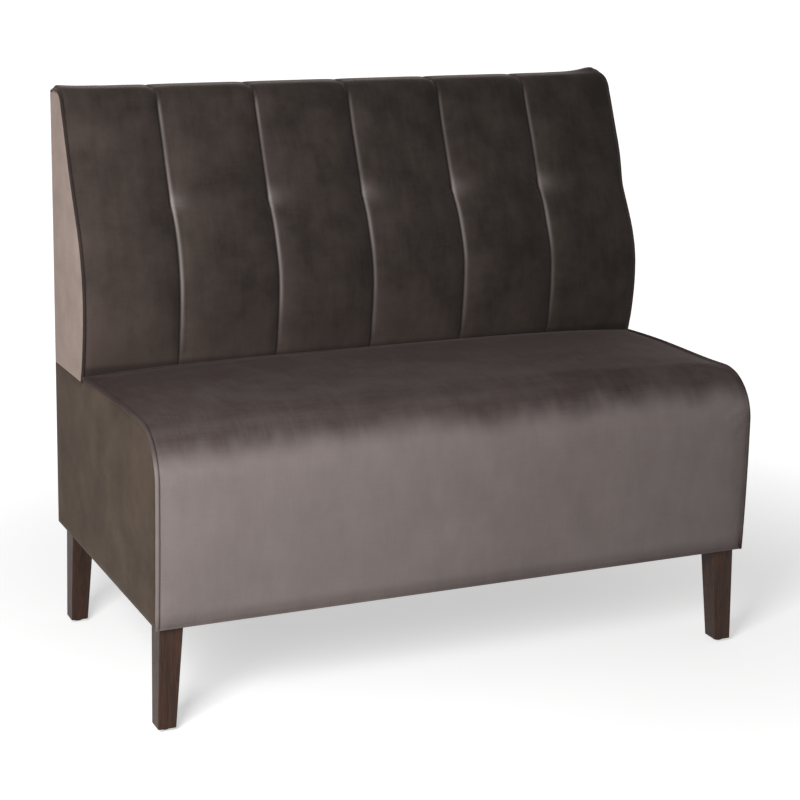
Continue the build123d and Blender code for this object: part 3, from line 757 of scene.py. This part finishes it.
def layQuilt(u, v):
    place = u * side["channels"]
    k = min(int(place), side["channels"] - 1)
    t = place - k
    wide = seamPlaces[k + 1] - seamPlaces[k]
    x = seamPlaces[k] + wide * (t - quilt["crowding"] * math.sin(2 * math.pi * t) / (2 * math.pi))
    s = rowPlaces[min(round(v * quilt["rows"]), quilt["rows"])]
    y, z, ny, nz = alongLine(quiltLine, quiltLengths, s)
    out = quiltOffset(x, z, s, k)
    soft = noise.noise(Vector((x * 9, z * 9, 3.1))) * quilt["unevenness"]
    soft += noise.noise(Vector((x * 26, z * 20, 8))) * quilt["fineness"]
    out += soft * crownAt(z)
    drop = cornerDrop(x, z, y)
    sway = (1 - t) * seamSway(k, z) + t * seamSway(k + 1, z)
    return x + sway, y + ny * out, z + nz * out - drop


def quiltHeld(i, j):
    return i % quilt["columns"] == 0 or j in (0, quilt["rows"]) or rowPlaces[j] > topStart + 0.03


quiltColumns = quilt["columns"] * side["channels"]
backQuilt = laidGrid("backQuilt", quiltColumns, quilt["rows"], layQuilt)
swell(backQuilt, quiltColumns, quilt["rows"], layQuilt, quiltHeld, filling["backCap"])
print("back filled out")
thicken(backQuilt, quilt["padding"])
drawEnd(backQuilt)
seamHighlightLayer = backQuilt.data.attributes.new("seamHighlightShare", "FLOAT", "POINT")
seamShadeLayer = backQuilt.data.attributes.new("seamShadeShare", "FLOAT", "POINT")
backLightLayer = backQuilt.data.attributes.new("backLightShare", "FLOAT", "POINT")

# How bright the painted highlight beside a seam is, by height and by seam, and the painted light over the back
highlightAlong = (
    (0.482, 0.0), (0.52, 0.06), (0.56, 0.3), (0.6, 0.45), (0.64, 0.62), (0.7, 0.82), (0.755, 1.0), (0.775, 0.95),
    (0.8, 0.62), (0.86, 0.46), (0.93, 0.52), (0.95, 0.4), (0.965, 0.06), (0.98, 0.0), (1.0, 0.0),
)
seamLight = {
    "seams": (1.0, 1.0, 0.72, 0.7, 0.66), "line": 0.78, "linePlace": 0.0036, "outWidth": 0.0028, "inWidth": 0.0016,
    "skirt": 0.05, "skirtReach": 0.009, "start": 0.004, "glow": 0.3, "glowReach": 0.017, "glowRise": 0.002,
    "dark": 0.85, "darkWidth": 0.0016, "shade": 0.3, "shadeReach": 0.008,
    "foot": 0.55, "footTop": 0.506, "footHeight": 0.012, "darkest": 0.9,
}
# Painted light over the back: lighter at the left and darker to the right, lighter on each channel's left side and
# low down; also darker over the crest and in a patch about x -0.11
lean = {
    "left": 0.54, "toRight": 0.36, "beside": 0.08, "besideReach": 0.25, "across": 0.08,
    "foot": 0.45, "footToRight": 0.2, "footHeight": 0.2, "patch": 0.06, "patchPlace": -0.11, "patchWidth": 0.2,
    "crest": 0.08, "crestStart": 0.9, "crestReach": 0.06,
}


def highlightAt(z):
    for (a, low), (b, high) in zip(highlightAlong, highlightAlong[1:]):
        if a <= z < b:
            return low + (high - low) * (z - a) / (b - a)
    return 0


for v in backQuilt.data.vertices:
    x, z = v.co.x, v.co.z
    nearest = min(range(1, side["channels"]), key=lambda n: abs(x - seamPlaces[n] - seamSway(n, z)))
    dx, dz = x - seamPlaces[nearest] - seamSway(nearest, z), z - tuftZ
    # Painted highlight on the flank right of the seam, which faces the light, weaker on the right seams, and a
    # painted glow beside the tuft
    uneven = 0.9 + 0.5 * noise.noise(Vector((nearest * 5.3, z * 13, 2)))
    started = smooth(dx / seamLight["start"])
    width = seamLight["outWidth"] if dx > seamLight["linePlace"] else seamLight["inWidth"]
    tail = bell(dx, seamLight["linePlace"], width)
    flank = seamLight["line"] * seamLight["seams"][nearest - 1] * tail * uneven
    flank = (flank + seamLight["skirt"] * math.exp(-max(dx, 0) / seamLight["skirtReach"]) * started) * highlightAt(z)
    outwards = max(dx - seamLight["start"], 0) / seamLight["glowReach"]
    glow = seamLight["glow"] * math.exp(-outwards - (((dz - seamLight["glowRise"]) / seamLight["glowReach"]) ** 2)) * started
    seamHighlightLayer.data[v.index].value = min(flank + glow, 1)
    # Painted light: lighter at the left and low down, darker to the right, lighter on each channel's left side
    inside = (x - seamPlaces[0]) / channel
    inside = inside - math.floor(inside)
    across = lean["left"] - lean["toRight"] * (x + core) / (2 * core)
    across += lean["beside"] * math.exp(-inside / lean["besideReach"]) - lean["across"] * inside
    low = (lean["foot"] - lean["footToRight"] * x / core) * (1 - smooth((z - deckZ) / lean["footHeight"]))
    across -= lean["patch"] * bell(x, lean["patchPlace"], lean["patchWidth"])
    crestDarkening = lean["crest"] * smooth((z - lean["crestStart"]) / lean["crestReach"])
    backLightLayer.data[v.index].value = across + low - crestDarkening
    # Painted shade: dark in the seam, fading off to its left where the channel turns from the light, and darker at
    # the foot where the back meets the seat
    dark = seamLight["dark"] * bell(dx, 0, seamLight["darkWidth"])
    if dx < 0:
        dark += seamLight["shade"] * math.exp(dx / seamLight["shadeReach"])
    crease = seamLight["foot"] * (1 - smooth((z - seamLight["footTop"]) / seamLight["footHeight"]))
    seamShadeLayer.data[v.index].value = min(max(dark, crease), seamLight["darkest"]) * (1 - smooth((z - crestZ) / 0.02))
dressed(backQuilt, backVelvet, "back_velvet", "back_front_cover")
print("back quilted")

# Seat cover: one velvet piece over the top and down the front
seat = {
    "padding": 0.012, "topRows": 52, "bendRows": 40, "faceRows": 48, "hem": 0.022,
    "columns": 150, "edgeDip": 0.0026, "endPower": 4, "crowding": 0.35,
    "unevenness": 0.0016, "fineness": 0.0005, "firmEnds": 0.06, "dipWidth": 0.005,
    "tuckDepth": 0.012, "tuckMiddle": 0.005,
}


def seatSection(x):
    share = 1 - abs(x / core) ** seat["endPower"]
    line = seatOutline(share, 0, seat["topRows"], seat["bendRows"], seat["faceRows"])
    rear = line[0]
    tuck = [(rear[0] + 0.001, rear[1] - seat["tuckDepth"]), (rear[0] + 0.0004, rear[1] - seat["tuckMiddle"])]
    toe = line[-1]
    hem = [(toe[0] + 0.003, toe[1] - 0.0006), (toe[0] + seat["hem"], toe[1] + 0.0004)]
    return tuck + line + hem


seatRows = len(seatSection(0)) - 1
seatSections = {}


def laySeat(u, v):
    t = 2 * u - 1
    x = core * (t + seat["crowding"] * math.sin(math.pi * t) / math.pi)
    key = round(x, 6)
    if key not in seatSections:
        seatSections[key] = seatSection(x)
    line = seatSections[key]
    k = min(round((1 - v) * seatRows), seatRows)
    y, z = line[k]
    a, b = line[max(k - 1, 0)], line[min(k + 1, seatRows)]
    ny, nz = a[1] - b[1], b[0] - a[0]
    size = math.hypot(ny, nz) or 1
    ny, nz = -ny / size, -nz / size
    away = core - abs(x)
    soft = noise.noise(Vector((x * 5, y * 7, z * 7))) * seat["unevenness"]
    soft += noise.noise(Vector((x * 17, y * 15, z * 15))) * seat["fineness"]
    out = soft * smooth(away / seat["firmEnds"]) - seat["edgeDip"] * bell(away, 0, seat["dipWidth"])
    if 2 < k < seatRows - 2:
        y, z = y + ny * out, z + nz * out
    return x, y, z


def seatHeld(i, j):
    return i in (0, seat["columns"]) or j < 6 or j > seatRows - 6


seatWrap = laidGrid("seatWrap", seat["columns"], seatRows, laySeat)
swell(seatWrap, seat["columns"], seatRows, laySeat, seatHeld, filling["seatCap"])
print("seat filled out")
thicken(seatWrap, seat["padding"])
lowerEnd(seatWrap)


# Painted sheen and light on the seat, by the angle round the front edge and partly its real brushed nap: dark at
# the back, lighter towards the front and light down the front; a painted highlight along the rear edge, painted
# shade towards the right end, a darker stretch about x 0.27, and darker along the hem and towards the bottom edge
seatLightPaint = {
    "firstAngle": 15, "lastAngle": 90, "topRise": 0.008,
    "leftBorder": 0.03, "leftPlace": -0.3, "leftWidth": 0.09,
    "midBorder": 0.045, "midPlace": 0.02, "midWidth": 0.14,
    "rightBorder": 0.04, "rightStart": 0.1, "rightReach": 0.12,
    "endBorder": 0.02, "endStart": -0.38, "endReach": 0.06,
    "top": 0.19, "topStart": 0.05, "topReach": 0.3, "brow": 0.06,
    "darker": 0.4, "darkPlace": 0.27, "darkWidth": 0.14,
    "rearHighlight": 0.24, "rearWidth": 0.006,
    "hemLine": 0.12, "hemPlace": 0.004, "hemWidth": 0.003, "hem": 0.3, "hemHeight": 0.032,
    "right": 0.09, "rightEdge": 0.13, "rightEdgeWidth": 0.01, "rightCord": 0.45,
}


def roundShareAt(v):
    bendY = -rearY + side["edgeRadius"]
    bendZ = side["seatFront"] + seatLightPaint["topRise"] - side["edgeRadius"]
    roundAngle = math.degrees(math.atan2(bendY - v.co.y, max(v.co.z - bendZ, 0.0001)))
    return min(max((roundAngle - seatLightPaint["firstAngle"]) / (seatLightPaint["lastAngle"] - seatLightPaint["firstAngle"]), 0), 1)


def paintSeatLight(piece, drop=0):
    napSheenLayer = piece.data.attributes.new("napSheenShare", "FLOAT", "POINT")
    seatLightLayer = piece.data.attributes.new("seatLightShare", "FLOAT", "POINT")
    for v in piece.data.vertices:
        x, y, z = v.co
        roundShare = roundShareAt(v)
        border = seatLightPaint["leftBorder"] * bell(x, seatLightPaint["leftPlace"], seatLightPaint["leftWidth"])
        border -= seatLightPaint["midBorder"] * bell(x, seatLightPaint["midPlace"], seatLightPaint["midWidth"])
        border += seatLightPaint["rightBorder"] * smooth((x - seatLightPaint["rightStart"]) / seatLightPaint["rightReach"])
        border -= seatLightPaint["endBorder"] * smooth((seatLightPaint["endStart"] - x) / seatLightPaint["endReach"])
        napSheenLayer.data[v.index].value = roundShare + border
        # Painted light: lighter towards the front of the top, a painted highlight along the rear edge, painted
        # shade towards the right end, and darker towards the bottom hem
        rest = seatLightPaint["top"] * smooth((seatLightPaint["topStart"] - y) / seatLightPaint["topReach"])
        rest += seatLightPaint["brow"] * smooth(roundShare / 0.2)
        rest *= 1 - seatLightPaint["darker"] * bell(x, seatLightPaint["darkPlace"], seatLightPaint["darkWidth"])
        rest *= 1 - smooth((roundShare - 0.2) / 0.5)
        rest += seatLightPaint["rearHighlight"] * bell(y, seatRearY, seatLightPaint["rearWidth"])
        above = z - side["underside"]
        rest -= seatLightPaint["hemLine"] * bell(above, seatLightPaint["hemPlace"], seatLightPaint["hemWidth"])
        rest -= seatLightPaint["hem"] * (1 - smooth(above / seatLightPaint["hemHeight"]))
        rightwards = seatLightPaint["right"] * smooth((x + 0.2) / 0.4)
        rightwards += seatLightPaint["rightEdge"] * math.exp(-max(core - x, 0) / seatLightPaint["rightEdgeWidth"])
        rest -= (rightwards + drop) * roundShare
        seatLightLayer.data[v.index].value = rest


paintSeatLight(seatWrap)
dressed(seatWrap, seatVelvet, "seat_velvet", "seat_cover")
print("seat wrapped")


panel = {
    "puff": 0.0008, "thickness": 0.0045, "rearThickness": 0.0028, "liningThickness": 0.0008,
    "backFoot": 0.4825, "joint": 0.0003, "rearTop": 0.966, "rearTurning": 0.012,
    "rimRoll": -0.0014, "nextRoll": -0.0004, "firmRim": 8, "wave": 0.0007,
}


# Evenly spaced points along a line
def spread(points, count):
    lengths = [0.0]
    for a, b in zip(points, points[1:]):
        lengths.append(lengths[-1] + math.dist(a, b))
    out, k = [], 0
    for want in range(count + 1):
        target = lengths[-1] * want / count
        while k < len(points) - 2 and lengths[k + 1] < target:
            k += 1
        t = (target - lengths[k]) / (lengths[k + 1] - lengths[k])
        out.append([p + t * (q - p) for p, q in zip(points[k], points[k + 1])])
    return out


# A taut panel between four edges, each a list of points in the panel's own plane
def tautPanel(name, edges, columns, rows, axis, face, puff, thickness, outwards):
    low, high, left, rightEdge = (spread(e, n) for e, n in zip(edges, (columns, columns, rows, rows)))

    def lay(u, v):
        i, j = round(u * columns), round(v * rows)
        point = []
        for c in (0, 1):
            across = (1 - v) * low[i][c] + v * high[i][c] + (1 - u) * left[j][c] + u * rightEdge[j][c]
            corners = (1 - u) * (1 - v) * low[0][c] + u * (1 - v) * low[-1][c]
            corners += (1 - u) * v * high[0][c] + u * v * high[-1][c]
            point.append(across - corners)
        rim = min(u * columns, (1 - u) * columns, v * rows, (1 - v) * rows)
        roll = panel["rimRoll"] if rim < 0.5 else (panel["nextRoll"] if rim < 1.5 else 0)
        wave = noise.noise(Vector((point[0] * 11, point[1] * 9, len(name)))) * panel["wave"]
        out = face + outwards * (roll + (puff + wave) * smooth(rim / panel["firmRim"]))
        return (out, *point) if axis == "X" else (point[0], out, point[1]) if axis == "Y" else (*point, out)

    piece = laidGrid(name, columns, rows, lay)
    onlyActive(piece)
    faces = piece.data.polygons
    index = {"X": 0, "Y": 1, "Z": 2}[axis]
    if sum(f.normal[index] for f in faces) * outwards < 0:
        bpy.ops.object.mode_set(mode="EDIT")
        bpy.ops.mesh.select_all(action="SELECT")
        bpy.ops.mesh.flip_normals()
        bpy.ops.object.mode_set(mode="OBJECT")
    thicken(piece, thickness)
    return piece


for mark, word in ((-1, "Left"), (1, "Right")):
    front = [p for p, n in backOutline(side["step"], panel["backFoot"], 90, 24)]
    front = [(y, max(z, panel["backFoot"])) for y, z in front]
    flatY, flatZ = front[-1]
    front = [(y, z - cornerDrop(mark * core, z, y)) for y, z in front]
    over = [flatY + (rearY - flatY) * k / 12 for k in range(1, 13)]
    over = [(y, flatZ - cornerDrop(mark * core, flatZ, y)) for y in over]
    edges = (
        [front[0], (rearY, panel["backFoot"])],
        [front[-1], *over],
        front,
        [(rearY, panel["backFoot"]), over[-1]],
    )
    backSide = tautPanel(
        f"back{word}Side", edges, 44, 120, "X", mark * side["outer"], panel["puff"], panel["thickness"], mark
    )
    if mark > 0:
        drawEnd(backSide)
    dressed(backSide, backSideLitVelvet, "panel_velvet", f"back_{word.lower()}_cover")

    line = seatOutline(0, side["step"], 40, 40, 40)
    faceLine = line[60:][::-1]
    topLine = line[:61][::-1] + [(seatRearY + 0.0005, deckZ - panel["joint"]), (rearY, deckZ - panel["joint"])]
    edges = (
        [faceLine[0], (rearY, side["underside"])],
        topLine,
        faceLine,
        [(rearY, side["underside"]), (rearY, deckZ - panel["joint"])],
    )
    seatSide = tautPanel(
        f"seat{word}Side", edges, 120, 70, "X", mark * side["outer"], panel["puff"], panel["thickness"], mark
    )
    if mark > 0:
        lowerEnd(seatSide)
    dressed(seatSide, seatSideDarkVelvet, "panel_velvet", f"seat_{word.lower()}_cover")

for name, low, high, node, rest in (
    ("backRearPanel", deckZ, panel["rearTop"], "back_rear_cover", "back_top_rail"),
    ("seatRearPanel", side["underside"], deckZ - 0.0004, "seat_rear_cover", "seat_rear_board"),
):
    edges = (
        [(-core, low), (core, low)], [(-core, high), (core, high)],
        [(-core, low), (-core, high)], [(core, low), (core, high)],
    )
    rearPanel = tautPanel(name, edges, 120, 60, "Y", rearY, panel["puff"], panel["rearThickness"], 1)
    dressed(rearPanel, rearVelvet, "panel_velvet", node)
print("side and rear panels stretched")


# Piping along the corners
piping = {
    "backRadius": 0.003, "backSink": 0.002, "seatRadius": 0.0038, "seatSink": 0.0026,
    "lump": 0.00025, "endDrop": 0.004, "cornerShare": 0.9,
}


def cord(name, x, points, radius):
    curve = bpy.data.curves.new(name, "CURVE")
    curve.dimensions = "3D"
    curve.bevel_depth = radius
    curve.bevel_resolution = 3
    curve.use_fill_caps = True
    spline = curve.splines.new("POLY")
    spline.points.add(len(points) - 1)
    for target, (y, z) in zip(spline.points, points):
        target.co = (x, y, z, 1)
    piece = bpy.data.objects.new(name, curve)
    bpy.context.scene.collection.objects.link(piece)
    onlyActive(piece)
    bpy.ops.object.convert(target="MESH")
    piece = bpy.context.object
    for v in piece.data.vertices:
        centre = Vector((x, v.co.y, v.co.z))
        lump = noise.noise(Vector((v.co.y * 90, v.co.z * 90, x * 7))) * piping["lump"]
        v.co += (v.co - centre).normalized() * lump if (v.co - centre).length > 1e-5 else Vector()
    bpy.ops.object.shade_smooth()
    return piece


for mark, word in ((-1, "Left"), (1, "Right")):
    x = mark * (side["outer"] - piping["backSink"])
    line = [p for p, n in backOutline(piping["backSink"], deckZ + 0.003, 110, 30)]
    flat = rearY - side["rearRound"] - line[-1][0]
    top = line[-1][1]
    end = line[-1][0]
    line += [(end + flat * k / 12, top - piping["endDrop"] * smooth((k / 12 - 0.6) / 0.4)) for k in range(1, 13)]
    line = [(y, z - piping["cornerShare"] * cornerDrop(mark * core, z, y)) for y, z in line]
    backCord = cord(f"back{word}Cord", x, line, piping["backRadius"])
    if mark > 0:
        drawEnd(backCord)
    dressed(backCord, pipingVelvet, "piping_velvet", f"back_{word.lower()}_piping")
    x = mark * (side["outer"] - piping["seatSink"])
    seatCord = cord(f"seat{word}Cord", x, seatOutline(0, piping["seatSink"], 60, 40, 50), piping["seatRadius"])
    # The right seat cord gets extra painted shade
    paintSeatLight(seatCord, seatLightPaint["rightCord"] if mark > 0 else 0)
    if mark > 0:
        lowerEnd(seatCord)
    dressed(seatCord, seatVelvet, "piping_velvet", f"seat_{word.lower()}_piping")
print("piping sewn")

# Lining under the seat
liningLow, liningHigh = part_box("dust_cover")
edges = (
    [(liningLow.x, liningLow.y), (liningHigh.x, liningLow.y)],
    [(liningLow.x, liningHigh.y), (liningHigh.x, liningHigh.y)],
    [(liningLow.x, liningLow.y), (liningLow.x, liningHigh.y)],
    [(liningHigh.x, liningLow.y), (liningHigh.x, liningHigh.y)],
)
liningSheet = tautPanel("liningSheet", edges, 90, 50, "Z", liningLow.z, 0.0, panel["liningThickness"], -1)
liningCloth, liningTree, liningShader = newFinish("liningCloth")
dress(
    liningTree, liningShader, velvetNap,
    {
        "Pile": (0.012, 0.012, 0.013, 1), "Brushed": (0.03, 0.03, 0.032, 1),
        "Lean": 0.4, "Clouds": 0.5, "Strokes": 0.2, "Threads": 1.2,
    },
    0.0003, 0.6,
)
dressed(liningSheet, liningCloth, "black_lining", "dust_cover")

# Wood, metal and plastic of the solids that stay
record = frame["record"]
frameWood = wood("frameWood", (0.55, 0.4, 0.22), (0.42, 0.27, 0.13), 0.6, 0, (0, quarter, 0))
birchPly = wood("birchPly", (0.62, 0.47, 0.3), (0.5, 0.35, 0.2), 0.55, 0, (0, quarter, 0))


def plainFinish(name, dark, pale, rough, metallic=0.0, depth=0.0002):
    finish, tree, shader = newFinish(name)
    shader.inputs["Metallic"].default_value = metallic
    values = {"Pile": (*dark, 1), "Brushed": (*pale, 1), "Lean": 0.5, "Clouds": 1.2, "Strokes": 0.4, "Threads": 0.2}
    dress(tree, shader, velvetNap, values, depth, 0.5)
    for link in list(tree.links):
        if link.to_socket == shader.inputs["Roughness"]:
            tree.links.remove(link)
    shader.inputs["Roughness"].default_value = rough
    return finish


bySlot = {
    "leg_wood": legWood,
    "pine": frameWood,
    "plywood": birchPly,
    "zinc_steel": plainFinish("zincSteel", (0.5, 0.5, 0.48), (0.65, 0.65, 0.62), 0.35, 1.0),
    "glide_plastic": plainFinish("glidePlastic", (0.012, 0.01, 0.009), (0.03, 0.026, 0.024), 0.5),
    "webbing": plainFinish("webbingCloth", (0.16, 0.14, 0.11), (0.3, 0.27, 0.22), 0.85),
    "hessian": plainFinish("hessianCloth", (0.34, 0.25, 0.15), (0.5, 0.4, 0.27), 0.9),
    "foam": plainFinish("seatFoam", (0.66, 0.6, 0.44), (0.8, 0.75, 0.6), 0.95),
    "tuft_twine": plainFinish("tuftTwine", (0.4, 0.35, 0.27), (0.55, 0.5, 0.4), 0.8),
    "toggle_plastic": plainFinish("togglePlastic", (0.42, 0.4, 0.36), (0.55, 0.53, 0.48), 0.5),
    "black_lining": liningCloth,
    "seat_velvet": seatVelvet,
    "back_velvet": backVelvet,
    "panel_velvet": seatSideDarkVelvet,
    "piping_velvet": pipingVelvet,
}
for row in record["subparts"]:
    node = frame["nodes"][row["node"]]
    node.data.materials.clear()
    node.data.materials.append(bySlot[row["material_slot"]])
print("solids finished")
